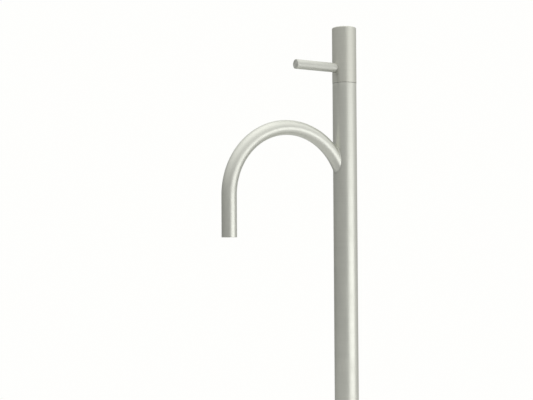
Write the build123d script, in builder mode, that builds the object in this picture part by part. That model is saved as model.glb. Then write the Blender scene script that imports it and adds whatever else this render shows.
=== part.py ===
from build123d import *
import os
from math import acos, cos, degrees, radians, sin

os.makedirs("parts", exist_ok=True)

# A free-standing garden standpipe. A plain round column carries a hooked spout that is
# welded to its side, and its whole top turns as the handle, by a pin lever. A quarter-turn
# ceramic cartridge under the head lets the water down into the chamber behind the spout.
# Millimetres, +Z up, the ground at zero, the column's axis on Z and the spout along +X.

# Overall heights: the turning head, and the dark gap under it
overall_height = 1000.0
head_height = 93.0
seam_gap = 0.5

# Clearances, all radial
running_fit = 0.05
seated_fit = 0.03
slip_gap = 0.3
overrun = 3.0

# Column tube
column_d = 40.0
column_wall = 2.0

# Turning head, a deep cup with a solid top
head_proud = 0.25
head_wall = 2.25
head_top = 5.0
head_edge = 1.4

# Pin lever and the stud that holds it
lever_d = 15.6
lever_reach = 97.0
lever_edge = 0.6
lever_hole_gap = 0.2
lever_seat_depth = 1.0
stud_d = 8.0
stud_root_wall = 3.5
stud_in_lever = 16.0
stud_end_gap = 1.0

# Hub inside the head
hub_above_clip = 1.3
hub_lip = 1.5
hub_crown = 5.5
hub_relief = 1.5
grub_d = 5.0
grub_length = 10.0
grub_rise = 5.0
grub_socket_d = 2.5
grub_socket_depth = 2.5

# Hooked spout, a bent tube
spout_d = 24.0
spout_wall = 1.5
bend_r = 110.0
spout_centre_drop = 189.0
spout_leg = 65.0
weld_leg = 2.0
wall_stretch_share = 0.8

# Water-saving insert in the spout's end
aerator_length = 14.0
aerator_wall = 2.2
aerator_lip = 1.2
aerator_inset = 0.8
screen_thickness = 1.6
screen_hole_pitch = 2.2
screen_hole_r = 0.9
screen_rim = 1.0
aerator_seal_height = 2.0

# Valve body, screwed into the top of the column
neck_rise = 4.0
glide_lip = 0.8
glide_wall = 2.0
glide_height = 4.5
gallery_height = 10.0
gallery_wall = 3.4
valve_floor = 8.0
valve_groove_top = 1.5
inlet_port_r = 5.0
outlet_hole_r = 1.9
outlet_hole_inset = 0.4
outlet_hole_count = 8

# Quarter-turn cartridge
cartridge_thread_r = 10.48
cartridge_thread = 9.0
barrel_bore_r = 7.4
barrel_wall = 1.3
cartridge_hex_flats = 22.0
cartridge_hex_height = 5.0
nose_wall = 3.0
nose_height = 4.0
seat_seal_height = 2.0
seat_seal_bore_r = 4.8
disc_height = 3.0
disc_hub_r = 1.8
disc_port_rim = 1.2
port_span = 76.0
key_width = 3.0
key_height = 1.0
window_width = 9.0
window_rise = 2.0

# Splined spindle and its clip
spindle_r = 5.0
driver_height = 2.6
spline_tip_r = 4.0
spline_depth = 0.4
spline_teeth = 20
spline_length = 12.0
clip_groove_depth = 0.8
clip_height = 1.0
clip_stand = 1.6
clip_mouth = 4.0
clip_gap = 0.2

# Seals of round cord, drawn slightly flattened as they lie in their grooves
cord_flat = 1.0
cord_height = 2.2
groove_slack = 0.4
groove_depth = 1.6

# Riser pipe and its compression joint under the valve
riser_r = 6.0
riser_wall = 1.0
union_wall = 1.0
union_length = 12.0
union_stop = 2.0
olive_height = 5.0
olive_wall = 1.3
cone_depth = 2.4
nut_wall = 2.7
nut_height = 14.0
nut_lip = 3.0

# Plug that closes the wet chamber below the spout
plug_height = 22.0
plug_above_centre = 4.0

# Base flange, bolted to the ground
flange_d = 130.0
flange_thickness = 8.0
flange_edge = 1.0
spigot_rise = 30.0
anchor_inset = 15.0
anchor_hole_d = 9.0
anchor_count = 4

# Countersunk screws that hold the column on the flange's spigot
column_screw_r = 2.0
column_screw_rise = 4.8
column_screw_sink = 0.6
column_screw_count = 3
column_screw_socket_r = 1.3
column_screw_socket = 1.2
countersink_angle = 90.0

# Inlet connector with a half-inch female thread
inlet_thread_r = 9.3
inlet_thread = 14.0
inlet_relief_step = 0.6
inlet_relief = 3.0
inlet_wall = 3.1
inlet_collar_step = 3.0
inlet_collar = 4.0
inlet_waist = 12.0
socket_wall = 2.9
socket_depth = 16.0
inlet_seal_width = 3.0
strainer_thickness = 0.6
strainer_hole_r = 0.8
strainer_pitch = 2.0

# Cover rose that hides the flange and slides up the column
rose_clearance = 3.0
rose_height = 24.0
rose_wall = 2.0
rose_edge = 3.0
rose_collar_wall = 4.5
rose_collar_depth = 8.0

# Radii and heights that follow, from the outside in
seam = overall_height - head_height
column_top = seam - seam_gap
column_r = column_d / 2
column_bore_r = column_r - column_wall
head_r = column_r + head_proud
head_bore_r = head_r - head_wall
spout_r = spout_d / 2
spout_bore_r = spout_r - spout_wall
spout_centre = seam - spout_centre_drop
spout_reach = 2 * bend_r
outlet_height = spout_centre - spout_leg
valve_r = column_bore_r - seated_fit
flange_r = flange_d / 2
spigot_top = flange_thickness + spigot_rise
rose_r = flange_r + rose_clearance + rose_wall
groove_width = cord_height + groove_slack

# Levels in the valve, from its neck down to the riser's nut
neck_r = head_bore_r - running_fit - glide_wall
gallery_r = valve_r - gallery_wall
neck_top = seam + neck_rise
gallery_top = neck_top - cartridge_thread
gallery_floor = gallery_top - gallery_height
valve_bottom = gallery_floor - valve_floor
union_bottom = valve_bottom - union_length
riser_top = valve_bottom - union_stop
upper_seal = column_top - valve_groove_top - groove_width / 2

# Levels of the discs and the driver, from the gallery's floor up
barrel_r = barrel_bore_r + barrel_wall
barrel_bottom = gallery_floor + seat_seal_height
fixed_disc_top = barrel_bottom + disc_height
moving_disc_top = fixed_disc_top + disc_height
driver_top = moving_disc_top + driver_height
disc_r = barrel_bore_r - running_fit

# Spindle, clip, hub and lever, stacked on the cartridge's hexagon
hex_top = neck_top + cartridge_hex_height
nose_top = hex_top + nose_height
clip_top = nose_top + clip_gap + clip_height
spindle_bore_r = spindle_r + running_fit
nose_r = spindle_bore_r + nose_wall
clip_groove_r = spindle_r - clip_groove_depth
clip_r = spindle_r + clip_stand
spindle_seal = (neck_top + hex_top) / 2
spindle_top = clip_top + spline_length
lever_r = lever_d / 2
lever_hole_r = lever_r + lever_hole_gap
hub_bottom = clip_top + hub_above_clip
lever_height = hub_bottom + hub_lip + lever_hole_r
hub_top = lever_height + lever_hole_r + hub_crown
grub_height = hub_bottom + grub_rise
hub_r = head_bore_r - seated_fit
lever_seat = hub_r - lever_seat_depth
stud_start = spline_tip_r + stud_root_wall

# Riser, its joints and the plug
riser_bore_r = riser_r - riser_wall
union_r = riser_r + olive_wall + union_wall
plug_top = spout_centre + plug_above_centre
plug_bottom = plug_top - plug_height
plug_seal = (plug_top + plug_bottom) / 2
inlet_relief_r = inlet_thread_r + inlet_relief_step
inlet_relief_top = inlet_thread + inlet_relief
inlet_body_r = inlet_relief_r + inlet_wall
inlet_collar_r = inlet_body_r + inlet_collar_step
inlet_top_r = riser_r + groove_depth + socket_wall
riser_bottom = inlet_relief_top + inlet_waist
inlet_top = riser_bottom + socket_depth
socket_seal = riser_bottom + socket_depth / 2


def turn(outline, mode=Mode.ADD):
    """Turn a closed outline of (radius, height) points about the column's axis."""
    with BuildSketch(Plane.XZ) as section:
        with BuildLine():
            Polyline(*outline, close=True)
        make_face()
    revolve(section.sketch, axis=Axis.Z, mode=mode)


def ring(inner, outer, bottom, top, mode=Mode.ADD):
    """A plain ring about the column's axis."""
    turn([(inner, bottom), (outer, bottom), (outer, top), (inner, top)], mode)


def groove(inner, outer, middle):
    """Cut a square groove for a seal out of the open part."""
    ring(inner, outer, middle - groove_width / 2, middle + groove_width / 2, Mode.SUBTRACT)


def cord_seal(inner, outer, middle):
    """A ring of round cord, flattened where it bears on its groove and on its bore."""
    centre = (inner + outer) / 2
    flat = cord_flat / 2
    half = cord_height / 2
    turn(
        [
            (inner, middle - flat),
            (centre, middle - half),
            (outer, middle - flat),
            (outer, middle + flat),
            (centre, middle + half),
            (inner, middle + flat),
        ]
    )


def radial(angle, distance, height):
    """A plane that looks outwards from the column's axis at an angle round it."""
    outwards = Vector(cos(radians(angle)), sin(radians(angle)), 0)
    return Plane(origin=outwards * distance + Vector(0, 0, height), x_dir=(0, 0, 1), z_dir=outwards)


def sector(inner, outer, span, middle, mode=Mode.ADD):
    """Add an outline between two arcs and two radial edges to the open sketch."""
    with BuildLine() as outline:
        rim = CenterArc((0, 0), outer, middle - span / 2, span)
        root = CenterArc((0, 0), inner, middle - span / 2, span)
        Line(rim @ 0, root @ 0)
        Line(rim @ 1, root @ 1)
    make_face(outline.edges(), mode=mode)


def spline(grow=0):
    """Add the spindle's fine pointed teeth to the open sketch, grown for a bore."""
    points = []
    for step in range(2 * spline_teeth):
        angle = radians(180 * step / spline_teeth)
        depth = spline_depth if step % 2 else 0
        reach = spline_tip_r - depth + grow
        points.append((reach * cos(angle), reach * sin(angle)))
    with BuildLine() as outline:
        Polyline(*points, close=True)
    make_face(outline.edges())


# The spout's centre line rises on the column's axis, turns half round and drops. Its first
# stretch, through the column's wall, is drawn again for the hole and the weld, and ends a
# share of the spout's width clear of the column.
wall_angle = degrees(acos(1 - (column_r + wall_stretch_share * spout_d) / bend_r))
with BuildLine(Plane.XZ) as spout_line:
    bend = CenterArc((bend_r, spout_centre), bend_r, 180, -180)
    Line(bend @ 1, (spout_reach, outlet_height))
with BuildLine(Plane.XZ) as wall_line:
    CenterArc((bend_r, spout_centre), bend_r, 180, -wall_angle)
spout_start = Plane.XY.offset(spout_centre)
outlet = Plane(origin=(spout_reach, 0, outlet_height))

# The column stands on the flange, over its spigot. The spout's bore goes on through the
# wall, and the screw holes near the foot are countersunk.
screw_face = column_r - column_screw_sink
screw_head = column_wall - column_screw_sink
screw_head_r = column_screw_r + screw_head
screw_grip = screw_face - inlet_body_r - slip_gap
screw_planes = [
    radial(90 + 360 * turn_no / column_screw_count, screw_face, flange_thickness + column_screw_rise)
    for turn_no in range(column_screw_count)
]
with BuildPart() as column_tube:
    ring(column_bore_r, column_r, flange_thickness, column_top)
    with BuildSketch(spout_start):
        Circle(spout_bore_r)
    sweep(path=wall_line.line, mode=Mode.SUBTRACT)
    with Locations(*screw_planes):
        CounterSinkHole(
            column_screw_r + seated_fit,
            screw_head_r + seated_fit,
            depth=column_wall + overrun,
            counter_sink_angle=countersink_angle,
        )
column_tube.part.label = "column_tube"

with BuildPart() as column_screws:
    with Locations(*screw_planes):
        Cone(
            column_screw_r,
            screw_head_r,
            screw_head,
            align=(Align.CENTER, Align.CENTER, Align.MAX),
        )
        Cylinder(
            column_screw_r,
            screw_grip,
            align=(Align.CENTER, Align.CENTER, Align.MAX),
        )
    for plane in screw_planes:
        with BuildSketch(plane):
            RegularPolygon(column_screw_socket_r, 6)
        extrude(amount=-column_screw_socket, mode=Mode.SUBTRACT)
column_screws.part.label = "column_screws"

# The spout is one bent tube, its end coped to sit on the round of the column.
with BuildPart() as spout_tube:
    with BuildSketch(spout_start):
        Circle(spout_r)
        Circle(spout_bore_r, mode=Mode.SUBTRACT)
    sweep(path=spout_line.line)
    with BuildSketch(Plane.XY.offset(spout_centre)):
        Circle(column_r)
    extrude(amount=bend_r, mode=Mode.SUBTRACT)
spout_tube.part.label = "spout_tube"

# The weld is the fillet between the two tubes, with both tubes then taken out of it.
with BuildPart() as spout_weld:
    with BuildSketch(Plane.XY.offset(spout_centre)):
        Circle(column_r)
    extrude(amount=bend_r)
    before = spout_weld.edges()
    with BuildSketch(spout_start):
        Circle(spout_r)
    sweep(path=wall_line.line)
    seam_edges = [
        edge
        for edge in spout_weld.edges() - before
        if edge.geom_type != GeomType.CIRCLE and edge.center().X < column_r
    ]
    fillet(seam_edges, weld_leg)
    with BuildSketch(Plane.XY.offset(spout_centre)):
        Circle(column_r)
    extrude(amount=bend_r, mode=Mode.SUBTRACT)
    with BuildSketch(spout_start):
        Circle(spout_r)
    sweep(path=wall_line.line, mode=Mode.SUBTRACT)
spout_weld.part.label = "spout_weld"

# The insert screws into the spout's end and straightens the jet through a fine screen.
aerator_r = spout_bore_r - seated_fit
with BuildPart() as aerator_housing:
    with BuildSketch(outlet.offset(aerator_inset)):
        Circle(aerator_r)
        Circle(aerator_r - aerator_wall - aerator_lip, mode=Mode.SUBTRACT)
    extrude(amount=aerator_lip)
    with BuildSketch(outlet.offset(aerator_inset + aerator_lip)):
        Circle(aerator_r)
        Circle(aerator_r - aerator_wall, mode=Mode.SUBTRACT)
    extrude(amount=aerator_length - aerator_lip)
aerator_housing.part.label = "aerator_housing"

with BuildPart() as aerator_screen:
    screen_r = aerator_r - aerator_wall - seated_fit
    with BuildSketch(outlet.offset(aerator_inset + aerator_lip)):
        Circle(screen_r)
        with HexLocations(screen_hole_pitch / 2, 7, 7):
            RegularPolygon(screen_hole_r, 6, mode=Mode.SUBTRACT)
        with BuildSketch(mode=Mode.PRIVATE) as rim:
            Circle(screen_r)
            Circle(screen_r - screen_rim, mode=Mode.SUBTRACT)
        add(rim.sketch)
    extrude(amount=screen_thickness)
aerator_screen.part.label = "aerator_screen"

with BuildPart() as aerator_seal:
    with BuildSketch(outlet.offset(aerator_inset + aerator_length)):
        Circle(aerator_r)
        Circle(aerator_r - aerator_wall, mode=Mode.SUBTRACT)
    extrude(amount=aerator_seal_height)
aerator_seal.part.label = "aerator_seal"

# The valve body closes the top of the column. Water comes up its middle, crosses the
# discs into the gallery and runs back down the ring of holes to the wet chamber.
with BuildPart() as valve_body:
    ring(0, valve_r, valve_bottom, column_top)
    ring(0, neck_r, column_top, neck_top)
    ring(0, union_r, union_bottom, valve_bottom)
    ring(0, cartridge_thread_r + seated_fit, gallery_floor, neck_top, Mode.SUBTRACT)
    ring(0, gallery_r, gallery_floor, gallery_top, Mode.SUBTRACT)
    ring(0, inlet_port_r, riser_top, gallery_floor, Mode.SUBTRACT)
    ring(0, riser_r + seated_fit, union_bottom, riser_top, Mode.SUBTRACT)
    turn(
        [
            (0, union_bottom),
            (riser_r + olive_wall + seated_fit, union_bottom),
            (riser_r + seated_fit, union_bottom + cone_depth),
            (0, union_bottom + cone_depth),
        ],
        Mode.SUBTRACT,
    )
    with BuildSketch(Plane.XY.offset(gallery_floor)):
        with PolarLocations(gallery_r - outlet_hole_inset - outlet_hole_r, outlet_hole_count):
            Circle(outlet_hole_r)
    extrude(amount=-valve_floor, mode=Mode.SUBTRACT)
    groove(valve_r - groove_depth, column_r, upper_seal)
valve_body.part.label = "valve_body"

# The head turns on this plastic ring: a sleeve inside it, and a thin lip in the dark gap.
with BuildPart() as glide_ring:
    turn(
        [
            (neck_r + seated_fit, column_top),
            (column_r - glide_lip, column_top),
            (column_r - glide_lip, seam),
            (head_bore_r - running_fit, seam),
            (head_bore_r - running_fit, column_top + glide_height),
            (neck_r + seated_fit, column_top + glide_height),
        ]
    )
glide_ring.part.label = "glide_ring"

# Cartridge body: a windowed barrel below, the half-inch thread, the spanner hexagon and
# a nose that guides the spindle.
with BuildPart() as cartridge_body:
    ring(0, barrel_r, barrel_bottom, gallery_top)
    ring(0, cartridge_thread_r, gallery_top, neck_top)
    with BuildSketch(Plane.XY.offset(neck_top)):
        RegularPolygon(cartridge_hex_flats / 2, 6, major_radius=False)
    extrude(amount=cartridge_hex_height)
    ring(0, nose_r, hex_top, nose_top)
    ring(0, barrel_bore_r, barrel_bottom, driver_top + running_fit, Mode.SUBTRACT)
    ring(0, spindle_bore_r, driver_top, nose_top, Mode.SUBTRACT)
    with BuildSketch(Plane.XY.offset(fixed_disc_top)):
        Rectangle(2 * cartridge_thread_r, window_width)
    extrude(amount=disc_height + window_rise, mode=Mode.SUBTRACT)
    with BuildSketch(Plane.XY.offset(barrel_bottom)):
        Rectangle(key_width, 2 * cartridge_thread_r)
    extrude(amount=disc_height, mode=Mode.SUBTRACT)
cartridge_body.part.label = "cartridge_body"

# Fixed ceramic disc: two ports, and two lugs that stop it turning in the barrel.
port_outer_r = disc_r - disc_port_rim
with BuildPart() as fixed_ceramic_disc:
    with BuildSketch(Plane.XY.offset(barrel_bottom)):
        Circle(disc_r)
        Rectangle(key_width - 2 * running_fit, 2 * barrel_r)
        sector(disc_hub_r, port_outer_r, port_span, 0, Mode.SUBTRACT)
        sector(disc_hub_r, port_outer_r, port_span, 180, Mode.SUBTRACT)
    extrude(amount=disc_height)
fixed_ceramic_disc.part.label = "fixed_ceramic_disc"

# Moving ceramic disc: shut at rest, its two cut-outs meet the ports after a quarter turn.
with BuildPart() as moving_ceramic_disc:
    with BuildSketch(Plane.XY.offset(fixed_disc_top)):
        Circle(disc_r)
        sector(disc_hub_r, barrel_r, port_span, 90, Mode.SUBTRACT)
        sector(disc_hub_r, barrel_r, port_span, 270, Mode.SUBTRACT)
    extrude(amount=disc_height)
    with BuildSketch(Plane.XY.offset(moving_disc_top)):
        Rectangle(2 * barrel_r, key_width)
    extrude(amount=-key_height, mode=Mode.SUBTRACT)
moving_ceramic_disc.part.label = "moving_ceramic_disc"

with BuildPart() as seat_seal:
    ring(seat_seal_bore_r, barrel_r, gallery_floor, barrel_bottom)
seat_seal.part.label = "seat_seal"

# Spindle: the driver's tongue turns the moving disc, a seal rides in the plain part, and
# the fine spline above takes the hub.
with BuildPart() as cartridge_spindle:
    ring(0, disc_r, moving_disc_top, driver_top)
    ring(0, spindle_r, driver_top, clip_top)
    with BuildSketch(Plane.XY.offset(clip_top)):
        spline()
    extrude(amount=spline_length)
    with BuildSketch(Plane.XY.offset(moving_disc_top)):
        Rectangle(2 * barrel_r, key_width - 2 * running_fit)
        Circle(disc_r, mode=Mode.INTERSECT)
    extrude(amount=running_fit - key_height)
    groove(spindle_r - groove_depth, nose_r, spindle_seal)
    ring(clip_groove_r, clip_r, nose_top, clip_top, Mode.SUBTRACT)
cartridge_spindle.part.label = "cartridge_spindle"

with BuildPart() as spindle_seal_ring:
    cord_seal(spindle_r - groove_depth, spindle_r, spindle_seal)
spindle_seal_ring.part.label = "spindle_o_ring"

with BuildPart() as spindle_clip:
    with BuildSketch(Plane.XY.offset(nose_top + clip_gap)):
        Circle(clip_r)
        Circle(clip_groove_r + seated_fit, mode=Mode.SUBTRACT)
        with Locations((-clip_r, 0)):
            Rectangle(2 * clip_r, clip_mouth, mode=Mode.SUBTRACT)
    extrude(amount=clip_height)
spindle_clip.part.label = "spindle_clip"

# Turning head: a turned cup with a hole for the lever in front and one for a key behind.
with BuildPart() as control_head:
    ring(0, head_r, seam, overall_height)
    fillet(control_head.faces().sort_by(Axis.Z)[-1].edges(), head_edge)
    ring(0, head_bore_r, seam, overall_height - head_top, Mode.SUBTRACT)
    with Locations(radial(0, 0, lever_height)):
        Cylinder(
            lever_hole_r,
            head_r + overrun,
            align=(Align.CENTER, Align.CENTER, Align.MIN),
            mode=Mode.SUBTRACT,
        )
    with Locations(radial(180, 0, grub_height)):
        Cylinder(
            grub_d / 2 + seated_fit,
            head_r + overrun,
            align=(Align.CENTER, Align.CENTER, Align.MIN),
            mode=Mode.SUBTRACT,
        )
control_head.part.label = "control_head"

# Hub: a brass disc in the head, with the spline's bore below and a flat seat for the lever.
with BuildPart() as head_hub:
    ring(0, hub_r, hub_bottom, hub_top)
    with BuildSketch(Plane.XY.offset(hub_bottom)):
        spline(grow=seated_fit)
    extrude(amount=spindle_top - hub_bottom + hub_relief, mode=Mode.SUBTRACT)
    with Locations(radial(0, lever_seat, lever_height)):
        Cylinder(
            lever_hole_r,
            lever_seat_depth + overrun,
            align=(Align.CENTER, Align.CENTER, Align.MIN),
            mode=Mode.SUBTRACT,
        )
        Cylinder(
            stud_d / 2 + seated_fit,
            lever_seat - stud_start,
            align=(Align.CENTER, Align.CENTER, Align.MAX),
            mode=Mode.SUBTRACT,
        )
    with Locations(radial(180, 0, grub_height)):
        Cylinder(
            grub_d / 2 + seated_fit,
            head_r,
            align=(Align.CENTER, Align.CENTER, Align.MIN),
            mode=Mode.SUBTRACT,
        )
head_hub.part.label = "head_hub"

# Lever: a plain bar with a crisp flat end, seated on the hub and held by a stud.
with BuildPart() as control_lever:
    with BuildSketch(radial(0, lever_seat, lever_height)):
        Circle(lever_r)
    extrude(amount=lever_reach - lever_seat)
    chamfer(control_lever.faces().sort_by(Axis.X)[-1].edges(), lever_edge)
    with BuildSketch(radial(0, lever_seat, lever_height)):
        Circle(stud_d / 2 + seated_fit)
    extrude(amount=stud_in_lever, mode=Mode.SUBTRACT)
control_lever.part.label = "control_lever"

with BuildPart() as lever_stud:
    with BuildSketch(radial(0, stud_start, lever_height)):
        Circle(stud_d / 2)
    extrude(amount=lever_seat - stud_start + stud_in_lever - stud_end_gap)
lever_stud.part.label = "lever_stud"

# The grub screw bears on the spline from behind and stays below the head's surface.
grub_tip = spline_tip_r + seated_fit
with BuildPart() as grub_screw:
    with BuildSketch(radial(180, grub_tip, grub_height)):
        Circle(grub_d / 2)
    extrude(amount=grub_length)
    with BuildSketch(radial(180, grub_tip + grub_length, grub_height)):
        RegularPolygon(grub_socket_d / 2, 6, major_radius=False)
    extrude(amount=-grub_socket_depth, mode=Mode.SUBTRACT)
grub_screw.part.label = "head_grub_screw"

# Riser pipe from the inlet to the valve, inside the column.
with BuildPart() as riser_tube:
    ring(riser_bore_r, riser_r, riser_bottom, riser_top)
riser_tube.part.label = "riser_tube"

# Compression joint: the nut drives the olive up into the cone of the valve's union.
cavity_bottom = union_bottom + cone_depth - olive_height
cavity_r = riser_r + olive_wall + seated_fit
nut_bottom = cavity_bottom - nut_lip
with BuildPart() as riser_nut:
    with BuildSketch(Plane.XY.offset(nut_bottom)):
        RegularPolygon(union_r + nut_wall, 6, major_radius=False)
    extrude(amount=nut_height)
    ring(0, riser_r + running_fit, nut_bottom, cavity_bottom, Mode.SUBTRACT)
    ring(0, cavity_r, cavity_bottom, union_bottom, Mode.SUBTRACT)
    ring(0, union_r + seated_fit, union_bottom, nut_bottom + nut_height, Mode.SUBTRACT)
riser_nut.part.label = "riser_nut"

with BuildPart() as riser_olive:
    turn(
        [
            (riser_r + seated_fit, cavity_bottom),
            (riser_r + olive_wall, cavity_bottom),
            (riser_r + olive_wall, union_bottom),
            (riser_r + seated_fit, union_bottom + cone_depth - seated_fit),
        ]
    )
riser_olive.part.label = "riser_olive"

# Chamber plug: seals the column below the spout and steadies the riser.
with BuildPart() as chamber_plug:
    ring(riser_r + seated_fit, valve_r, plug_bottom, plug_top)
    groove(valve_r - groove_depth, column_r, plug_seal)
    groove(riser_r, riser_r + groove_depth, plug_seal)
chamber_plug.part.label = "chamber_plug"

# Two equal seals run in the column's bore and two on the riser.
with BuildPart() as column_o_rings:
    cord_seal(valve_r - groove_depth, column_bore_r, upper_seal)
    cord_seal(valve_r - groove_depth, column_bore_r, plug_seal)
column_o_rings.part.label = "column_o_rings"

with BuildPart() as riser_o_rings:
    cord_seal(riser_r, riser_r + groove_depth, plug_seal)
    cord_seal(riser_r, riser_r + groove_depth, socket_seal)
riser_o_rings.part.label = "riser_o_rings"

# Base flange: its spigot fills the foot of the column, and the inlet passes up through it.
with BuildPart() as base_flange:
    ring(0, flange_r, 0, flange_thickness)
    chamfer(base_flange.faces().sort_by(Axis.Z)[-1].edges(), flange_edge)
    with BuildSketch():
        with PolarLocations(flange_r - anchor_inset, anchor_count, start_angle=45):
            Circle(anchor_hole_d / 2)
    extrude(amount=flange_thickness, mode=Mode.SUBTRACT)
    ring(0, valve_r, flange_thickness, spigot_top)
    ring(0, inlet_body_r + seated_fit, inlet_collar, spigot_top, Mode.SUBTRACT)
    ring(0, inlet_collar_r + seated_fit, 0, inlet_collar, Mode.SUBTRACT)
    for plane in screw_planes:
        with Locations(plane):
            Cylinder(
                column_screw_r + seated_fit,
                screw_grip + seated_fit,
                align=(Align.CENTER, Align.CENTER, Align.MAX),
                mode=Mode.SUBTRACT,
            )
base_flange.part.label = "base_flange"

# Inlet connector: a collared bush with the female thread.
with BuildPart() as inlet_connector:
    ring(inlet_thread_r, inlet_collar_r, 0, inlet_collar)
    ring(inlet_thread_r, inlet_body_r, inlet_collar, inlet_thread)
    ring(inlet_relief_r, inlet_body_r, inlet_thread, inlet_relief_top)
inlet_connector.part.label = "inlet_connector"

# Riser socket: brazed on top of the connector, it narrows to the pipe and seals round it.
with BuildPart() as riser_socket:
    ring(riser_bore_r, inlet_body_r, inlet_relief_top, riser_bottom)
    ring(riser_r + seated_fit, inlet_top_r, riser_bottom, inlet_top)
    groove(riser_r, riser_r + groove_depth, socket_seal)
riser_socket.part.label = "riser_socket"

inlet_seal_r = inlet_relief_r - seated_fit
with BuildPart() as inlet_seal:
    ring(
        inlet_seal_r - inlet_seal_width,
        inlet_seal_r,
        inlet_thread + strainer_thickness,
        inlet_relief_top,
    )
inlet_seal.part.label = "inlet_seal"

with BuildPart() as inlet_strainer:
    with BuildSketch(Plane.XY.offset(inlet_thread)):
        Circle(inlet_seal_r)
        with HexLocations(strainer_pitch / 2, 5, 5):
            RegularPolygon(strainer_hole_r, 6, mode=Mode.SUBTRACT)
    extrude(amount=strainer_thickness)
inlet_strainer.part.label = "inlet_strainer"

# Cover rose: a spun dish with a collar under its hole, which holds a soft ring.
rose_bore_r = column_r + slip_gap
rose_seal = rose_height - (rose_wall + rose_collar_depth) / 2
with BuildPart() as base_cover:
    ring(0, rose_r, 0, rose_height)
    fillet(base_cover.faces().sort_by(Axis.Z)[-1].edges(), rose_edge)
    ring(0, rose_r - rose_wall, 0, rose_height - rose_edge, Mode.SUBTRACT)
    ring(0, rose_r - rose_edge, rose_height - rose_edge, rose_height - rose_wall, Mode.SUBTRACT)
    ring(0, rose_bore_r + rose_collar_wall, rose_height - rose_collar_depth, rose_height - rose_wall)
    ring(0, rose_bore_r, 0, rose_height, Mode.SUBTRACT)
    groove(column_r, rose_bore_r + groove_depth, rose_seal)
base_cover.part.label = "base_cover"

with BuildPart() as cover_seal_ring:
    cord_seal(column_r + slip_gap / 2, rose_bore_r + groove_depth, rose_seal)
cover_seal_ring.part.label = "cover_o_ring"

for piece in (
    column_tube,
    column_screws,
    spout_tube,
    spout_weld,
    aerator_housing,
    aerator_screen,
    aerator_seal,
    valve_body,
    glide_ring,
    cartridge_body,
    fixed_ceramic_disc,
    moving_ceramic_disc,
    seat_seal,
    cartridge_spindle,
    spindle_seal_ring,
    spindle_clip,
    control_head,
    head_hub,
    control_lever,
    lever_stud,
    grub_screw,
    riser_tube,
    riser_nut,
    riser_olive,
    chamber_plug,
    column_o_rings,
    riser_o_rings,
    base_flange,
    inlet_connector,
    riser_socket,
    inlet_seal,
    inlet_strainer,
    base_cover,
    cover_seal_ring,
):
    export_step(piece.part, f"parts/{piece.part.label}.step")
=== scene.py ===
import bpy
import numpy as np
from mathutils import Matrix, Vector


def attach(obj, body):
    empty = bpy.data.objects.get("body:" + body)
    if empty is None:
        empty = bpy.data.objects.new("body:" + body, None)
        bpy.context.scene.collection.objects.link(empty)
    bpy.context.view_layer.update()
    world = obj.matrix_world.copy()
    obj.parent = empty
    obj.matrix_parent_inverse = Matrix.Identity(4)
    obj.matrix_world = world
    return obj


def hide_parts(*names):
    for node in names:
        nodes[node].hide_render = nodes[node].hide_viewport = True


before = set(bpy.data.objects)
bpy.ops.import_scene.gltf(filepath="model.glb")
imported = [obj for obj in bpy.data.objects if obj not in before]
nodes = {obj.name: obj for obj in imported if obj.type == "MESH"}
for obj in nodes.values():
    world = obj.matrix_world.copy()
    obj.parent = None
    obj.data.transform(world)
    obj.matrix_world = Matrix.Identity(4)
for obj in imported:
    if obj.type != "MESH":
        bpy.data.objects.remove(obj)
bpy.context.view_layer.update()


# Base flange
# A round stainless plate with a spigot, turned and then brushed, that four ground anchors
# hold down. It is the CAD node with a satin finish: grain round the axis, a little scuffed.

def node(tree, kind, settings=(), **sockets):
    """Add a node. A socket is given a plain value, or another node's output to link. Its
    name has an underscore for a space, and _0 is the first socket."""
    made = tree.nodes.new(kind)
    for key, value in dict(settings).items():
        setattr(made, key, value)
    for key, value in sockets.items():
        place = int(key[1:]) if key[0] == "_" and key[1:].isdigit() else key.replace("_", " ")
        socket = made.inputs[place]
        if isinstance(value, bpy.types.NodeSocket):
            tree.links.new(value, socket)
        else:
            socket.default_value = value
    return made


def worked(tree, operation, *values):
    """The result of a Math node on those values, in their order."""
    sockets = {f"_{place}": value for place, value in enumerate(values)}
    return node(tree, "ShaderNodeMath", {"operation": operation}, **sockets).outputs[0]


def remapped(tree, value, low, high, bottom=0.0, top=1.0, curve="LINEAR"):
    """A value brought from low and high to bottom and top, and held between them."""
    ends = {"From_Min": low, "From_Max": high, "To_Min": bottom, "To_Max": top}
    made = node(tree, "ShaderNodeMapRange", {"interpolation_type": curve}, Value=value, **ends)
    return made.outputs[0]


def mixed(tree, share, first, second):
    """A colour between two, by share."""
    return node(tree, "ShaderNodeMix", {"data_type": "RGBA"}, _0=share, _6=first, _7=second).outputs[2]


def vector_by(tree, operation, first, second=(0.0, 0.0, 0.0)):
    """A Vector Math node on two vectors."""
    return node(tree, "ShaderNodeVectorMath", {"operation": operation}, _0=first, _1=second)


def shaded(colour, share):
    """A plain colour made lighter or darker by that share."""
    return [channel * share for channel in colour[:3]] + [1.0]


def new_group(name, inputs, outputs):
    """Start a shader node group with named sockets and return its tree, inlet and outlet."""
    tree = bpy.data.node_groups.new(name, "ShaderNodeTree")
    for label, kind in inputs:
        tree.interface.new_socket(label, in_out="INPUT", socket_type=kind)
    for label, kind in outputs:
        tree.interface.new_socket(label, in_out="OUTPUT", socket_type=kind)
    return tree, tree.nodes.new("NodeGroupInput"), tree.nodes.new("NodeGroupOutput")


def new_material(name):
    """Start an empty material and return it with its tree."""
    material = bpy.data.materials.new(name)
    material.use_nodes = True
    material.node_tree.nodes.clear()
    return material, material.node_tree


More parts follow.
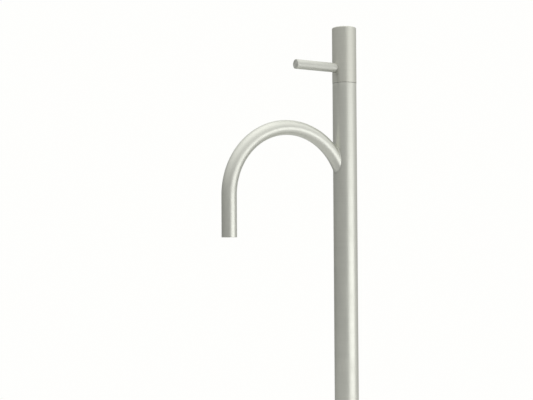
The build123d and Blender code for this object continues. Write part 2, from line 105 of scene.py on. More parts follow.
def satin_grain():
    """Brush lines across the piece's length: fine, coarse and very broad noises, each
    stretched round the piece by reading the third coordinate far faster than the others."""
    tree, inlet, outlet = new_group(
        "satin_grain",
        (("Lay", "NodeSocketVector"), ("Lines per Metre", "NodeSocketFloat")),
        (("Grain", "NodeSocketFloat"), ("Bands", "NodeSocketFloat")),
    )
    noises = []
    # Each noise has its share of the lines, its rate round the piece and its detail.
    for share, round_rate, detail in ((1.0, 38.0, 3.0), (0.14, 15.0, 2.0), (0.011, 3.0, 2.0)):
        rate = worked(tree, "MULTIPLY", inlet.outputs["Lines per Metre"], share)
        stretch = node(tree, "ShaderNodeCombineXYZ", X=round_rate, Y=round_rate, Z=rate)
        place = vector_by(tree, "MULTIPLY", inlet.outputs["Lay"], stretch.outputs[0])
        noise = node(tree, "ShaderNodeTexNoise", Vector=place.outputs[0], Scale=1.0, Detail=detail)
        noises.append(noise.outputs["Fac"])
    fine, coarse, broad = noises
    both = node(tree, "ShaderNodeMix", {"data_type": "FLOAT"}, Factor=0.45, A=fine, B=coarse)
    tree.links.new(both.outputs[0], outlet.inputs["Grain"])
    tree.links.new(broad, outlet.inputs["Bands"])
    return tree


def handling_marks():
    """Faint wiped patches and finger marks: a broad warped noise, cut by a soft threshold."""
    tree, inlet, outlet = new_group(
        "handling_marks",
        (("Lay", "NodeSocketVector"), ("Patches per Metre", "NodeSocketFloat")),
        (("Marks", "NodeSocketFloat"),),
    )
    rate = inlet.outputs["Patches per Metre"]
    broad = node(
        tree, "ShaderNodeTexNoise", Vector=inlet.outputs["Lay"], Scale=rate, Detail=4.0, Distortion=0.8
    )
    soft = remapped(tree, broad.outputs["Fac"], low=0.48, high=0.72, curve="SMOOTHSTEP")
    tree.links.new(soft, outlet.inputs["Marks"])
    return tree


grain_tree = satin_grain()
marks_tree = handling_marks()


def brushed_lines(tree, lay, lines):
    """The grain group's node, with that many lines to the metre."""
    return node(tree, "ShaderNodeGroup", {"node_tree": grain_tree}, Lay=lay, Lines_per_Metre=lines)


def wiped_marks(tree, lay, patches):
    """The marks group's mask, with that many patches to the metre."""
    settings = {"node_tree": marks_tree}
    return node(tree, "ShaderNodeGroup", settings, Lay=lay, Patches_per_Metre=patches).outputs["Marks"]


band_swing = 0.025
grain_roughness = 0.06
grain_light, grain_dark = 1.06, 0.90


def satin_steel(
    name, colour, rough, lines=5200.0, relief=0.000028, marks=0.07, brushed=0.52, own_lay=False
):
    """Brushed stainless steel. Its grain follows the piece's own lay, or the node's place.
    The roughness is rough, a little up and down with the bands, and more with the grain and
    the handling marks."""
    material, tree = new_material(name)
    if own_lay:
        lay = node(tree, "ShaderNodeAttribute", {"attribute_name": "lay"}).outputs["Vector"]
        along = node(tree, "ShaderNodeTangent", {"direction_type": "UV_MAP", "uv_map": "unrolled"})
    else:
        lay = node(tree, "ShaderNodeTexCoord").outputs["Object"]
        along = node(tree, "ShaderNodeTangent", {"direction_type": "RADIAL", "axis": "Z"})
    grain = brushed_lines(tree, lay, lines)
    fine = grain.outputs["Grain"]
    swing = {"bottom": rough - band_swing, "top": rough + band_swing}
    bands = remapped(tree, grain.outputs["Bands"], low=0.3, high=0.7, **swing)
    worn = worked(tree, "MULTIPLY_ADD", wiped_marks(tree, lay, patches=26.0), marks, bands)
    bump = node(tree, "ShaderNodeBump", Height=fine, Strength=0.35, Distance=relief)
    steel = node(
        tree,
        "ShaderNodeBsdfPrincipled",
        Base_Color=mixed(tree, fine, shaded(colour, grain_light), shaded(colour, grain_dark)),
        Metallic=1.0,
        Roughness=worked(tree, "MULTIPLY_ADD", fine, grain_roughness, worn),
        Anisotropic=brushed,
        Anisotropic_Rotation=0.0 if own_lay else 0.25,
        Specular_Tint=(0.86, 0.87, 0.86, 1.0),
        Tangent=along.outputs[0],
        Normal=bump.outputs[0],
    )
    node(tree, "ShaderNodeOutputMaterial", Surface=steel.outputs[0])
    return material


def dress(names, material):
    """Give CAD nodes their finish, in place of what model.glb gave them."""
    for name in names:
        mesh = nodes[name].data
        mesh.materials.clear()
        mesh.materials.append(material)


flange_steel = satin_steel(
    "flange_satin_steel", (0.58, 0.58, 0.545, 1.0), rough=0.36, lines=2600.0, marks=0.16
)
dress(["base_flange"], flange_steel)


# Column screws
# Three small countersunk socket screws of plain stainless that hold the column on the
# flange's spigot. They are CAD nodes, and the other small bright parts share their finish.

screw_steel = satin_steel(
    "screw_bright_steel", (0.56, 0.56, 0.54, 1.0), rough=0.3, lines=1500.0, marks=0.1, brushed=0.0
)
dress(["column_screws", "head_grub_screw", "lever_stud"], screw_steel)
dress(["spindle_clip", "cartridge_spindle"], screw_steel)


# Inlet connector, socket, valve body, cartridge, hub, nut, olive and plug
# Water parts turned from bar brass, left bright from the tool. Fine rings run round each
# of them, and the brass is a little darker where it has been handled.

stain_shares = (0.72, 0.62, 0.5)
stain_roughness = 0.16
ring_roughness = 0.1


def turned_brass(name, colour, rough):
    """Machined brass: tool rings round the axis, warm stains, and a soft bright skin."""
    material, tree = new_material(name)
    place = node(tree, "ShaderNodeTexCoord").outputs["Object"]
    rings = brushed_lines(tree, place, lines=2400.0).outputs["Grain"]
    stains = wiped_marks(tree, place, patches=60.0)
    dull = [channel * share for channel, share in zip(colour, stain_shares)] + [1.0]
    worn = worked(tree, "MULTIPLY_ADD", stains, stain_roughness, rough)
    bump = node(tree, "ShaderNodeBump", Height=rings, Strength=0.5, Distance=0.00004)
    brass = node(
        tree,
        "ShaderNodeBsdfPrincipled",
        Base_Color=mixed(tree, stains, colour, dull),
        Metallic=1.0,
        Roughness=worked(tree, "MULTIPLY_ADD", rings, ring_roughness, worn),
        Normal=bump.outputs[0],
    )
    node(tree, "ShaderNodeOutputMaterial", Surface=brass.outputs[0])
    return material


bar_brass = turned_brass("turned_brass", (0.80, 0.60, 0.31, 1.0), rough=0.24)
dress(["inlet_connector", "riser_socket", "valve_body", "head_hub"], bar_brass)
dress(["cartridge_body", "riser_nut", "chamber_plug"], bar_brass)
olive_brass = turned_brass("soft_olive_brass", (0.74, 0.52, 0.26, 1.0), rough=0.34)
dress(["riser_olive"], olive_brass)


# Riser pipe and inlet strainer
# A drawn stainless pipe up the middle of the column, and a thin punched disc that keeps
# grit out of the valve. The drawn skin is smoother than the brushed outside.

riser_steel = satin_steel(
    "riser_drawn_steel", (0.54, 0.54, 0.52, 1.0), rough=0.28, lines=900.0, marks=0.12, brushed=0.0
)
dress(["riser_tube", "inlet_strainer"], riser_steel)


# Seals
# Rings of black rubber cord in their grooves, a flat washer at the inlet and the soft ring
# under the cover's hole. Moulded, matt, with a dusting of talc.

skin_roughness = 0.14


def moulded(name, colour, rough, grit, dust, depth):
    """Rubber, plastic or ceramic out of a mould. Its skin has a fine grit, so many grains to
    the metre and so deep, and pale dust lies on it in broad patches."""
    material, tree = new_material(name)
    place = node(tree, "ShaderNodeTexCoord").outputs["Object"]
    skin = node(tree, "ShaderNodeTexNoise", Vector=place, Scale=grit, Detail=3.0, Roughness=0.6)
    pale = [channel + dust for channel in colour[:3]] + [1.0]
    bump = node(tree, "ShaderNodeBump", Height=skin.outputs["Fac"], Strength=0.4, Distance=depth)
    body = node(
        tree,
        "ShaderNodeBsdfPrincipled",
        Base_Color=mixed(tree, wiped_marks(tree, place, patches=90.0), colour, pale),
        Roughness=worked(tree, "MULTIPLY_ADD", skin.outputs["Fac"], skin_roughness, rough),
        Specular_IOR_Level=0.4,
        Normal=bump.outputs[0],
    )
    node(tree, "ShaderNodeOutputMaterial", Surface=body.outputs[0])
    return material


seal_rubber = moulded(
    "seal_rubber", (0.016, 0.016, 0.017, 1.0), rough=0.5, grit=5200.0, dust=0.02, depth=0.00002
)
dress(["column_o_rings", "riser_o_rings", "spindle_o_ring", "cover_o_ring"], seal_rubber)
dress(["inlet_seal", "seat_seal", "aerator_seal"], seal_rubber)


# Ceramic discs
# Two lapped discs of pale alumina that slide on each other and shut the water off. They
# are off-white, very slightly mottled, and almost polished on their faces.

alumina = moulded(
    "lapped_alumina", (0.80, 0.78, 0.71, 1.0), rough=0.14, grit=9000.0, dust=0.04, depth=0.000004
)
dress(["fixed_ceramic_disc", "moving_ceramic_disc"], alumina)


# Column
# A plain stainless tube of 40 mm with 2 mm of wall, brushed round its length and open at
# both ends. Near its foot three recesses take the countersunk screws.

full_turn = 2 * np.pi
crisp = 0.0002
column_radius = 0.020
column_bore = 0.018
column_foot = 0.008
column_top = 0.9065
column_smooth_foot = 0.020
screw_angles = np.radians([90.0, 210.0, 330.0])
screw_height = 0.0128
recess_radius = 0.00343
recess_floor = 0.0191
recess_slope = 0.0002
fine_reach = 0.0042
least_turn = 0.002


def upright(radius, start, stop, count):
    """Points of a (radius, height) outline along a wall, from one height to another."""
    return np.stack([np.full(count, radius), np.linspace(start, stop, count)], axis=1)


def level(height, start, stop, count):
    """Points of a (radius, height) outline along a flat, from one radius to another."""
    return np.stack([np.linspace(start, stop, count), np.full(count, height)], axis=1)


def corner_arc(centre, radius, start, stop, count):
    """Points of a rounded corner in a (radius, height) outline, angles in degrees."""
    angle = np.radians(np.linspace(start, stop, count))
    return np.stack([centre[0] + radius * np.cos(angle), centre[1] + radius * np.sin(angle)], axis=1)


def length_along(line):
    """Distance run along a line of points, from its first."""
    return np.concatenate([[0.0], np.cumsum(np.linalg.norm(np.diff(line, axis=0), axis=1))])


def carried_round(line, turns, sunk=0.0):
    """An outline carried round an upright axis, less a depth that is sunk into it: x and y
    are its radius times the turn's cosine and sine, z its height. The lay, which the grain
    reads, has the run along the outline for its third coordinate."""
    radius, turn = np.meshgrid(line[:, 0], turns, indexing="ij")
    radius = radius - sunk
    flat = [radius * np.cos(turn), radius * np.sin(turn)]
    height = np.broadcast_to(line[:, 1:], radius.shape)
    run = np.broadcast_to(length_along(line)[:, None], radius.shape)
    return np.stack([*flat, height], axis=-1), np.stack([*flat, run], axis=-1)


def numbered(shape, poles=False):
    """Vertex numbers of a grid. With poles, its first and last rows are one point each."""
    number = np.arange(shape[0] * shape[1]).reshape(shape[:2])
    if poles:
        number[0], number[-1] = number[0, 0], number[-1, 0]
    return number


def grid_faces(number, rows_closed):
    """Quads between the neighbours of a grid of vertex numbers, closed round its columns,
    and round its rows too if asked."""
    below = number if rows_closed else number[:-1]
    above = np.roll(number, -1, axis=0) if rows_closed else number[1:]
    corners = [below, np.roll(below, -1, axis=1), np.roll(above, -1, axis=1), above]
    return np.stack(corners, axis=-1).reshape(-1, 4)


def unroll(along, turns, radius, rows_closed):
    """Corner coordinates of each quad of a grid: the run along the piece, then the arc
    round it, which is the turn times the radius. The strip that closes the round ends at
    the column's whole arc on every piece. The grain's direction doesn't depend on it."""
    run = np.append(along, along[-1] + np.ptp(along[-2:])) if rows_closed else along
    arc = np.append(turns * radius, turns[0] * radius + full_turn * column_radius)
    flat = np.stack(np.meshgrid(run, arc, indexing="ij"), axis=-1)
    corners = [flat[:-1, :-1], flat[:-1, 1:], flat[1:, 1:], flat[1:, :-1]]
    return np.stack(corners, axis=2).reshape(-1, 4, 2)


sharp_bend = 0.5


def put(name, points, faces, lay, unrolled, material):
    """Make a piece of points and quads. A quad with two corners in one is put in as a
    triangle, and all are turned over if the volume that they enclose comes out negative."""
    used, faces = np.unique(faces, return_inverse=True)
    points, lay, faces = points.reshape(-1, 3)[used], lay.reshape(-1, 3)[used], faces.reshape(-1, 4)
    a, b, c, d = (points[faces[:, corner]] for corner in range(4))
    volume = np.einsum("ij,ij->", a, np.cross(b, c)) + np.einsum("ij,ij->", a, np.cross(c, d))
    order = np.arange(4)[:: -1 if volume < 0 else 1]
    faces, unrolled = faces[:, order], unrolled[:, order]
    keep = faces != np.roll(faces, 1, axis=1)
    mesh = bpy.data.meshes.new(name)
    mesh.from_pydata(points, [], [face[kept].tolist() for face, kept in zip(faces, keep)])
    map_data = mesh.uv_layers.new(name="unrolled").data
    map_data.foreach_set("uv", unrolled[keep].astype(np.float32).ravel())
    lay_data = mesh.attributes.new("lay", "FLOAT_VECTOR", "POINT").data
    lay_data.foreach_set("vector", lay.astype(np.float32).ravel())
    mesh.polygons.foreach_set("use_smooth", np.ones(len(faces), bool))
    mesh.set_sharp_from_angle(angle=sharp_bend)
    mesh.materials.append(material)
    piece = bpy.data.objects.new(name, mesh)
    bpy.context.scene.collection.objects.link(piece)
    return piece


column_steel = satin_steel(
    "column_satin_steel", (0.667, 0.674, 0.618, 1.0), rough=0.42, own_lay=True
)
# The points stand closer together round a screw, so that its recess comes out round.
near_screw = np.linspace(-fine_reach, fine_reach, 43) / column_radius
column_turns = np.concatenate(
    [np.linspace(0, full_turn, 144, endpoint=False), *(angle + near_screw for angle in screw_angles)]
)
column_turns = np.unique(np.round(column_turns % full_turn, 7))
column_turns = column_turns[np.diff(np.append(column_turns, full_turn)) > least_turn]
column_line = np.concatenate(
    [
        upright(column_radius, screw_height - fine_reach, screw_height + fine_reach, 45),
        upright(column_radius, column_smooth_foot, column_top - crisp, 150),
        corner_arc((column_radius - crisp, column_top - crisp), crisp, 22, 90, 4),
        upright(column_bore, column_top, column_foot, 40),
        [(column_radius - crisp, column_foot), (column_radius, column_foot + crisp)],
    ]
)
# A recess is a height field on the skin. Within the countersink's reach of a screw's middle
# the radius drops, by a steep slope, to the recess's floor.
aside = (column_turns[:, None] - screw_angles + np.pi) % full_turn - np.pi
rise = column_line[:, 1] - screw_height
reach = np.hypot(column_radius * np.abs(aside).min(axis=1), rise[:, None])
sunk = np.clip((recess_radius - reach) / recess_slope, 0, 1) * (column_radius - recess_floor)
sunk[column_line[:, 0] <= column_bore + crisp] = 0
points, lay = carried_round(column_line, column_turns, sunk)
column_piece = put(
    "column_brushed_tube",
    points,
    grid_faces(numbered(points.shape), True),
    lay,
    unroll(length_along(column_line), column_turns, column_radius, True),
    column_steel,
)
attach(column_piece, "standpipe")
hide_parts("column_tube")


# Spout
# A 24 mm stainless tube bent half round on a 110 mm radius, then straight down to a square
# cut mouth. Its upper end is coped to the round of the column, and its grain runs round it.

spout_radius = 0.012
spout_bore = 0.0105
bend_radius = 0.110
bend_height = 0.718
mouth_height = 0.653
lip_round = 0.00035


def along_spout(turn, run, section, start):
    """A point of a tube of that section round the spout's line, for run from 0 to 1. The
    line is a half circle from the start angle that each turn has, then a straight drop."""
    bend = np.pi - start
    whole = bend * bend_radius + bend_height - mouth_height
    gone = run * whole
    angle = start + np.minimum(gone / bend_radius, bend)
    fall = np.maximum(gone - bend * bend_radius, 0)
    out = bend_radius + section * np.cos(turn)
    height = bend_height + out * np.sin(angle) - fall
    return np.stack([bend_radius - out * np.cos(angle), section * np.sin(turn), height], axis=-1)


def coped_start(turn, section):
    """The bend's angle at which a line of the tube meets the column's skin."""
    depth = np.sqrt(column_radius**2 - (section * np.sin(turn)) ** 2)
    return np.arccos((bend_radius - depth) / (bend_radius + section * np.cos(turn)))


spout_steel = satin_steel("spout_satin_steel", (0.672, 0.68, 0.626, 1.0), rough=0.40, own_lay=True)
spout_turns = np.linspace(0, full_turn, 128, endpoint=False)
whole_run = np.pi * bend_radius + bend_height - mouth_height
lip_turn = np.radians(np.linspace(0, 90, 5))[1:]
lip_runs = 1 - lip_round / whole_run * (1 - np.sin(lip_turn))
lip_sections = spout_radius - lip_round * (1 - np.cos(lip_turn))
outer_runs = np.linspace(0, 1 - lip_round / whole_run, 210)
inner_runs = np.linspace(1, 0, 110)
spout_runs = np.concatenate([outer_runs, lip_runs, inner_runs])
spout_sections = np.concatenate(
    [np.full(len(outer_runs), spout_radius), lip_sections, np.full(len(inner_runs), spout_bore)]
)
section, turn = np.meshgrid(spout_sections, spout_turns, indexing="ij")
run = np.broadcast_to(spout_runs[:, None], section.shape)
points = along_spout(turn, run, section, coped_start(turn, section))
spout_piece = put(
    "spout_bent_tube",
    points,
    grid_faces(numbered(points.shape), True),
    np.stack([section * np.cos(turn), section * np.sin(turn), run * whole_run], axis=-1),
    unroll(spout_runs * whole_run, spout_turns, spout_radius, True),
    spout_steel,
)
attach(spout_piece, "standpipe")
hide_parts("spout_tube")


# Spout weld
# A small fillet of weld round the spout's root, ground and polished until it reads as part
# of the two tubes. It feathers out on both of them.

weld_leg = 0.0017
weld_bite = 0.0004
weld_shares = np.linspace(0, 1, 9)[:, None, None]


def across_weld(on_column, corner, on_spout):
    """Rows of points from the column's skin to the spout's: the bent line of a quadratic
    Bezier curve, which leaves both skins flat and is drawn towards the corner between."""
    back, forth = 1 - weld_shares, weld_shares
    return back**2 * on_column + 2 * back * forth * corner + forth**2 * on_spout


weld_steel = satin_steel(
    "weld_polished_steel",
    (0.645, 0.65, 0.603, 1.0),
    rough=0.40,
    lines=420.0,
    relief=0.00004,
    marks=0.08,
    brushed=0.0,
    own_lay=True,
)
weld_turns = np.linspace(0, full_turn, 144, endpoint=False)
weld_start = coped_start(weld_turns, spout_radius)
corner = along_spout(weld_turns, 0.0, spout_radius, weld_start)
outwards = corner * (1, 1, 0) / column_radius
beside = np.cross(np.roll(corner, -1, axis=0) - np.roll(corner, 1, axis=0), outwards)
beside *= weld_leg / np.linalg.norm(beside, axis=1, keepdims=True)
beside *= np.sign(np.einsum("ij,ij->", beside, corner - corner.mean(axis=0)))
on_column = corner + beside
on_column[:, :2] *= column_radius / np.linalg.norm(on_column[:, :2], axis=1, keepdims=True)
weld_angle = weld_leg / (bend_radius + spout_radius * np.cos(weld_turns))
on_spout = along_spout(weld_turns, 0.0, spout_radius, weld_start + weld_angle)
points = np.concatenate([across_weld(on_column, corner, on_spout), [corner - weld_bite * outwards]])
weld_piece = put(
    "spout_weld_fillet",
    points,
    grid_faces(numbered(points.shape), True),
    points,
    unroll(np.linspace(0, 2 * weld_leg, len(points)), weld_turns, spout_radius, True),
    weld_steel,
)
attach(weld_piece, "standpipe")
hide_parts("spout_weld")


# Water-saving insert
# A threaded insert of grey plastic in the spout's mouth, with a paler screen behind its
# lip that straightens the jet. Both are moulded, and both are CAD nodes.

insert_plastic = moulded(
    "insert_plastic", (0.11, 0.115, 0.12, 1.0), rough=0.32, grit=2600.0, dust=0.05, depth=0.00001
)
screen_plastic = moulded(
    "screen_plastic", (0.46, 0.48, 0.48, 1.0), rough=0.3, grit=2600.0, dust=0.05, depth=0.00001
)
dress(["aerator_housing"], insert_plastic)
dress(["aerator_screen"], screen_plastic)


# Glide ring
# A black acetal ring on the valve's neck that the head turns on. Only its thin lip shows,
# as the dark line between the head and the column.

glide_plastic = moulded(
    "glide_acetal", (0.022, 0.022, 0.023, 1.0), rough=0.4, grit=3800.0, dust=0.01, depth=0.00001
)
dress(["glide_ring"], glide_plastic)


# Turning head
# A deep stainless cup turned from bar, as wide as the column and a hair more, with a hole
# in front for the lever and a small one behind for a key. Its grain runs round it.

head_radius = 0.02025
head_bore = 0.018
head_foot = 0.907
head_top = 1.0
head_ceiling = 0.995
head_round = 0.0014
lever_height = 0.932
lever_hole = 0.0080
lever_window = 0.0105
key_height = 0.9275
key_hole = 0.00253
key_window = 0.0040
hole_edge = 0.00012
ceiling_gap = 0.001
hair = 1e-7

head_steel = satin_steel("head_satin_steel", (0.662, 0.665, 0.603, 1.0), rough=0.42, own_lay=True)
lever_half = lever_window / head_radius
key_half = key_window / head_radius
lever_columns, side_columns, key_columns = 32, 72, 16
key_start = lever_columns + side_columns
head_turns = np.concatenate(
    [
        np.linspace(-lever_half, lever_half, lever_columns, endpoint=False),
        np.linspace(lever_half, np.pi - key_half, side_columns, endpoint=False),
        np.linspace(np.pi - key_half, np.pi + key_half, key_columns, endpoint=False),
        np.linspace(np.pi + key_half, full_turn - lever_half, side_columns, endpoint=False),
    ]
)
rows_below, rows_beside, rows_above = 16, 43, 41
wall_heights = np.concatenate(
    [
        np.linspace(head_foot + crisp, lever_height - lever_window, rows_below, endpoint=False),
        np.linspace(lever_height - lever_window, lever_height + lever_window, rows_beside),
        np.linspace(lever_height + lever_window, head_top - head_round, rows_above)[1:],
    ]
)
# The inner wall has the outer wall's rows, from the ceiling down.
low_enough = wall_heights < head_ceiling - ceiling_gap
inner_heights = np.append(head_ceiling - crisp, wall_heights[low_enough][::-1])
ceiling_line = level(head_ceiling, 0, head_bore - crisp, 12)
inner_line = np.stack([np.full(len(inner_heights), head_bore), inner_heights], axis=1)
foot_line = np.array([(head_bore, head_foot), (head_radius - crisp, head_foot)])
outer_line = np.stack([np.full(len(wall_heights), head_radius), wall_heights], axis=1)
top_line = corner_arc((head_radius - head_round, head_top - head_round), head_round, 0, 90, 10)[1:]
crown_line = level(head_top, head_radius - head_round, 0, 30)[1:]
head_line = np.concatenate([ceiling_line, inner_line, foot_line, outer_line, top_line, crown_line])
inner_first = len(ceiling_line)
outer_first = inner_first + len(inner_line) + len(foot_line)

points, lay = (grid.reshape(-1, 3) for grid in carried_round(head_line, head_turns))
head_run = length_along(head_line)
number = numbered((len(head_line), len(head_turns)), poles=True)
faces = grid_faces(number, False)
corners = unroll(head_run, head_turns, head_radius, False)


def window_rows(heights, first, low, high):
    """First and last row of a wall of the outline that lie between two heights."""
    rows = first + np.flatnonzero((heights > low - hair) & (heights < high + hair))
    return rows.min(), rows.max()


def window_edge(rows, columns):
    """Vertex numbers round the edge of a window of the grid, in order and each once."""
    block = number[rows[0] : rows[1] + 1, np.arange(columns[0], columns[1] + 1) % number.shape[1]]
    return np.concatenate([block[0, :-1], block[:-1, -1], block[-1, :0:-1], block[:0:-1, 0]])


def hole_ring(edge, wall, middle, middle_height, hole, share, depth=0.0):
    """Points between a hole's circle, at share 0, and its window's edge, at share 1. The
    circle is that of a drill along the radius, so its arc reads as an arcsine on the skin."""
    at = points[edge]
    angle = (np.arctan2(at[:, 1], at[:, 0]) - middle + np.pi) % full_turn - np.pi
    rise = at[:, 2] - middle_height
    around = np.arctan2(rise, wall * angle)
    skin = wall - depth
    ring_turn = middle + np.arcsin(hole * np.cos(around) / skin) * (1 - share) + angle * share
    height = middle_height + hole * np.sin(around) * (1 - share) + rise * share
    return np.stack([skin * np.cos(ring_turn), skin * np.sin(ring_turn), height], axis=1)


# Each window is cut out of both walls, and rings of points lead from its edge on the outer
# wall to the hole's softened rim, through the wall and out to its edge on the inner wall.
more_points, more_faces = [points], []
whole = np.ones((len(head_line) - 1, len(head_turns)), bool)
for middle, middle_height, hole, half, first_turn, last_turn in (
    (0.0, lever_height, lever_hole, lever_window, 0, lever_columns),
    (np.pi, key_height, key_hole, key_window, key_start, key_start + key_columns),
):
    low, high = middle_height - half, middle_height + half
    outer_rows = window_rows(wall_heights, outer_first, low, high)
    inner_rows = window_rows(inner_heights, inner_first, low, high)
    for rows in (outer_rows, inner_rows):
        whole[rows[0] : rows[1], first_turn:last_turn] = False
    outer_edge = window_edge(outer_rows, (first_turn, last_turn))
    # The inner wall's rows run downwards, so its edge is read the other way round.
    inner_edge = window_edge(inner_rows, (first_turn, last_turn))
    inner_edge = np.roll(inner_edge[::-1], last_turn - first_turn + 1)
    rings = [outer_edge]
    for edge, wall, grown, share, depth in (
        (outer_edge, head_radius, hole_edge, 0.5, 0.0),
        (outer_edge, head_radius, hole_edge, 0.2, 0.0),
        (outer_edge, head_radius, hole_edge, 0.0, 0.0),
        (outer_edge, head_radius, 0.0, 0.0, hole_edge),
        (inner_edge, head_bore, 0.0, 0.0, 0.0),
        (inner_edge, head_bore, 0.0, 0.3, 0.0),
    ):
        start = sum(len(block) for block in more_points)
        more_points.append(hole_ring(edge, wall, middle, middle_height, hole + grown, share, depth))
        rings.append(np.arange(start, start + len(edge)))
    more_faces.append(grid_faces(np.array([*rings, inner_edge]), False))
ring_points = np.concatenate(more_points[1:])
ring_lay = ring_points + (0, 0, head_run[outer_first] - head_foot)
points, lay = np.concatenate([points, ring_points]), np.concatenate([lay, ring_lay])
ring_faces = np.concatenate(more_faces)
# The windows' own corner coordinates: height along, and arc round the head.
ring_turns = np.arctan2(points[ring_faces][..., 1], np.abs(points[ring_faces][..., 0]))
ring_corners = np.stack([lay[ring_faces][..., 2], head_radius * ring_turns], axis=-1)
head_piece = put(
    "head_turned_cup",
    points,
    np.concatenate([faces[whole.ravel()], ring_faces]),
    lay,
    np.concatenate([corners[whole.ravel()], ring_corners]),
    head_steel,
)
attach(head_piece, "head")
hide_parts("control_head")


# Pin lever
# A plain round bar of stainless, faced square at its end with a small chamfer and bored
# behind for the stud that screws it to the hub. Its end face keeps the facing tool's rings.

lever_radius = 0.0078
lever_root = 0.01697
lever_end = 0.097
lever_chamfer = 0.0006
stud_bore = 0.00403
stud_bore_end = 0.03297
root_strip = 0.0005

lever_steel = satin_steel(
    "lever_satin_steel", (0.667, 0.672, 0.627, 1.0), rough=0.59, brushed=0.35, own_lay=True
)
lever_turns = np.linspace(0, full_turn, 128, endpoint=False)
chamfer_radii = lever_radius - lever_chamfer * np.array([0.3, 0.65, 1.0])
chamfer_reaches = lever_end - lever_chamfer * np.array([0.7, 0.3, 0.0])
lever_line = np.concatenate(
    [
        [(0.0, stud_bore_end), (stud_bore, stud_bore_end)],
        [(stud_bore, lever_root), (lever_radius, lever_root)],
        upright(lever_radius, lever_root + root_strip, lever_end - lever_chamfer, 90),
        np.stack([chamfer_radii, chamfer_reaches], axis=1),
        level(lever_end, lever_radius - lever_chamfer, 0, 24)[1:],
    ]
)
# The bar is worked out upright and then laid along +X at the lever's height.
points, lay = carried_round(lever_line, lever_turns)
points = np.stack([points[..., 2], points[..., 0], lever_height + points[..., 1]], axis=-1)
lever_piece = put(
    "lever_turned_bar",
    points,
    grid_faces(numbered(points.shape, poles=True), False),
    lay,
    unroll(length_along(lever_line), lever_turns, lever_radius, False),
    lever_steel,
)
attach(lever_piece, "head")
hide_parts("control_lever")


# Cover rose
# A dish spun from 2 mm stainless that hides the flange and can be slid up the column. Its
# rim is rounded, and a collar under its hole holds a soft ring.

rose_radius = 0.070
rose_height = 0.024
rose_wall = 0.002
rose_edge = 0.003
rose_hole = 0.0203
rose_hole_round = 0.0004
rose_inner_top = 0.018
ceiling_start = 0.027
collar_radius = 0.0248
collar_foot = 0.016
ring_groove = 0.0219
groove_middle = 0.019
groove_half = 0.0013

rose_steel = satin_steel(
    "rose_spun_steel", (0.64, 0.645, 0.60, 1.0), rough=0.38, lines=3600.0, own_lay=True
)
rose_turns = np.linspace(0, full_turn, 224, endpoint=False)
under_top = rose_height - rose_wall
rose_line = np.concatenate(
    [
        upright(rose_radius, crisp, rose_height - rose_edge, 14),
        corner_arc((rose_radius - rose_edge, rose_height - rose_edge), rose_edge, 0, 90, 14)[1:],
        level(rose_height, rose_radius - rose_edge, rose_hole + rose_hole_round, 46)[1:],
        [(rose_hole, rose_height - rose_hole_round), (rose_hole, groove_middle + groove_half)],
        [(ring_groove, groove_middle + groove_half), (ring_groove, groove_middle - groove_half)],
        [(rose_hole, groove_middle - groove_half), (rose_hole, collar_foot)],
        [(collar_radius, collar_foot), (collar_radius, under_top)],
        level(under_top, ceiling_start, rose_radius - rose_edge, 20),
        [(rose_radius - rose_wall, rose_height - rose_edge)],
        upright(rose_radius - rose_wall, rose_inner_top, 0.0, 8),
        [(rose_radius - crisp, 0.0)],
    ]
)
points, lay = carried_round(rose_line, rose_turns)
rose_piece = put(
    "rose_spun_dish",
    points,
    grid_faces(numbered(points.shape), True),
    lay,
    unroll(length_along(rose_line), rose_turns, rose_radius, True),
    rose_steel,
)
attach(rose_piece, "cover")
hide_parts("base_cover")


# Floor
# A pale disc that takes the shadow and fades out at its rim, so that the background stays
# plain white. It is no part of the standpipe.

floor_reach = 1.3
floor_drop = 0.0006
off_white = (0.995, 0.995, 0.98, 1.0)
distance, turn = np.meshgrid(
    np.linspace(0, floor_reach, 24), np.linspace(0, full_turn, 96, endpoint=False), indexing="ij"
)
under = np.full(turn.shape, -floor_drop)
points = np.stack([distance * np.cos(turn), distance * np.sin(turn), under], axis=-1)
number = numbered(turn.shape)
# The disc's first ring is its middle point.
number[0] = number[0, 0]
floor_mesh = bpy.data.meshes.new("pale_floor")
floor_faces = [list(dict.fromkeys(face)) for face in grid_faces(number, False).tolist()]
floor_mesh.from_pydata(points.reshape(-1, 3), [], floor_faces)
floor = bpy.data.objects.new("pale_floor", floor_mesh)
bpy.context.scene.collection.objects.link(floor)


def ray_kinds(tree):
    """What tells the rays that see a surface straight on, and those that see it mirrored
    or through glass."""
    rays = node(tree, "ShaderNodeLightPath").outputs
    mirrored = worked(tree, "MAXIMUM", rays["Is Glossy Ray"], rays["Is Transmission Ray"])
    return rays["Is Camera Ray"], mirrored


floor_paint, tree = new_material("pale_floor")
place = node(tree, "ShaderNodeTexCoord").outputs["Object"]
far = vector_by(tree, "LENGTH", place).outputs["Value"]
fade = remapped(tree, far, low=0.72, high=1.25, curve="SMOOTHSTEP")
dust = node(tree, "ShaderNodeTexNoise", Vector=place, Scale=35.0, Detail=4.0)
shade = mixed(tree, dust.outputs["Fac"], (0.63, 0.63, 0.62, 1.0), (0.67, 0.67, 0.66, 1.0))
matt = node(tree, "ShaderNodeBsdfPrincipled", Base_Color=shade, Roughness=0.8)
# The rim is white where it is seen, straight on or mirrored, and lights the rest less.
straight, mirrored = ray_kinds(tree)
seen = worked(tree, "MAXIMUM", straight, mirrored)
glow = remapped(tree, seen, low=0.0, high=1.0, bottom=0.41, top=1.0)
white = node(tree, "ShaderNodeEmission", Color=off_white, Strength=glow)
paint = node(tree, "ShaderNodeMixShader", _0=fade, _1=matt.outputs[0], _2=white.outputs[0])
node(tree, "ShaderNodeOutputMaterial", Surface=paint.outputs[0])
floor_mesh.materials.append(floor_paint)


# Camera
# The photograph's viewpoint: level with the spout's straight drop, a metre and a half from
# the column and aimed a little upwards, found by fitting the tubes' edges.

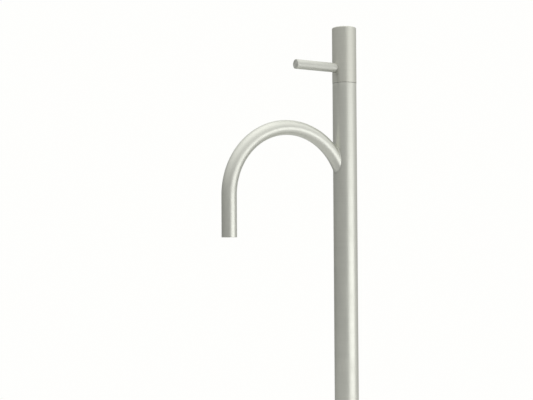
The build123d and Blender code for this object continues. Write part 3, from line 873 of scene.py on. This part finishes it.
eye = np.array([0.874, 1.219, 0.6815])
heading = np.radians(144.36)
yaw, pitch, roll = np.radians([5.034, 1.193, -0.331])


def tilted(first, second, angle):
    """Two directions at a right angle, both turned by an angle in their plane: the first
    towards the second, and the second away from the first."""
    cosine, sine = np.cos(angle), np.sin(angle)
    return cosine * first + sine * second, cosine * second - sine * first


right = np.array([np.cos(heading), np.sin(heading), 0])
ahead = np.array([-np.sin(heading), np.cos(heading), 0])
right, ahead = tilted(right, ahead, yaw)
ahead, upwards = tilted(ahead, np.array([0, 0, 1]), pitch)
right, upwards = tilted(right, upwards, roll)
lens = bpy.data.cameras.new("photo_camera")
lens.sensor_width = 36.0
lens.lens = 60.4
camera = bpy.data.objects.new("photo_camera", lens)
camera.matrix_world = Matrix([*zip(right, upwards, -ahead, eye), (0, 0, 0, 1)])
bpy.context.scene.collection.objects.link(camera)
bpy.context.scene.camera = camera


# Light
# A broad softbox low on the right that draws the bright line down the tubes, a weak one
# above it, one overhead, and a grey room that is white behind the standpipe.

toward_camera = float(np.arctan2(eye[1], eye[0]))


def softbox(name, turn_right, distance, height, wide, tall, glow, upright_face=True):
    """A rectangular lamp, turned right of the camera's direction, in degrees. It faces the
    column, or looks down. Its power gives its face that glow, where 1 is white."""
    lamp = bpy.data.lights.new(name, "AREA")
    lamp.shape = "RECTANGLE"
    lamp.size, lamp.size_y = wide, tall
    lamp.energy = glow * np.pi * wide * tall
    made = bpy.data.objects.new(name, lamp)
    angle = toward_camera + np.radians(turn_right)
    made.location = (distance * np.cos(angle), distance * np.sin(angle), height)
    if upright_face:
        inwards = Vector((-made.location.x, -made.location.y, 0.0))
        made.rotation_euler = inwards.to_track_quat("-Z", "Y").to_euler()
    bpy.context.scene.collection.objects.link(made)


# The two on the right stand clear of the floor's rim, which they would cut into nearer by.
side_place = {"turn_right": 57.3, "distance": 1.35, "wide": 1.53}
softbox("side_softbox", height=0.32, tall=1.04, glow=1.28, **side_place)
softbox("upper_softbox", height=1.145, tall=0.61, glow=0.07, **side_place)
top_place = {"turn_right": 20.0, "distance": 0.25, "wide": 1.3, "upright_face": False}
softbox("top_softbox", height=2.1, tall=1.1, glow=0.19, **top_place)

# The room is brighter on the right than on the left, and brighter the higher it is. Metal
# mirrors the white background in the directions that lie behind the standpipe.
world = bpy.data.worlds.new("grey_room")
bpy.context.scene.world = world
world.use_nodes = True
tree = world.node_tree
tree.nodes.clear()
rightwards = (-np.sin(toward_camera), np.cos(toward_camera), 0.0)
backwards = (-np.cos(toward_camera), -np.sin(toward_camera), 0.0)
way = node(tree, "ShaderNodeTexCoord").outputs["Generated"]
rise = node(tree, "ShaderNodeSeparateXYZ", Vector=way).outputs["Z"]
to_right = vector_by(tree, "DOT_PRODUCT", way, rightwards).outputs["Value"]
to_back = vector_by(tree, "DOT_PRODUCT", way, backwards).outputs["Value"]
across = remapped(tree, to_right, low=0.1, high=1.0, bottom=0.3, top=0.65, curve="SMOOTHSTEP")
above = remapped(tree, rise, low=0.04, high=1.04, bottom=0.0, top=1.12)
wall = remapped(tree, to_back, low=0.84, high=0.95, curve="SMOOTHSTEP")
room = worked(tree, "ADD", across, above)
straight, mirrored = ray_kinds(tree)
seen = worked(tree, "MAXIMUM", straight, worked(tree, "MULTIPLY", mirrored, wall))
grey = node(tree, "ShaderNodeBackground", Color=(1.0, 1.0, 0.985, 1.0), Strength=room)
plain = node(tree, "ShaderNodeBackground", Color=off_white, Strength=1.0)
both = node(tree, "ShaderNodeMixShader", _0=seen, _1=grey.outputs[0], _2=plain.outputs[0])
node(tree, "ShaderNodeOutputWorld", Surface=both.outputs[0])

bpy.context.scene.view_settings.view_transform = "Standard"
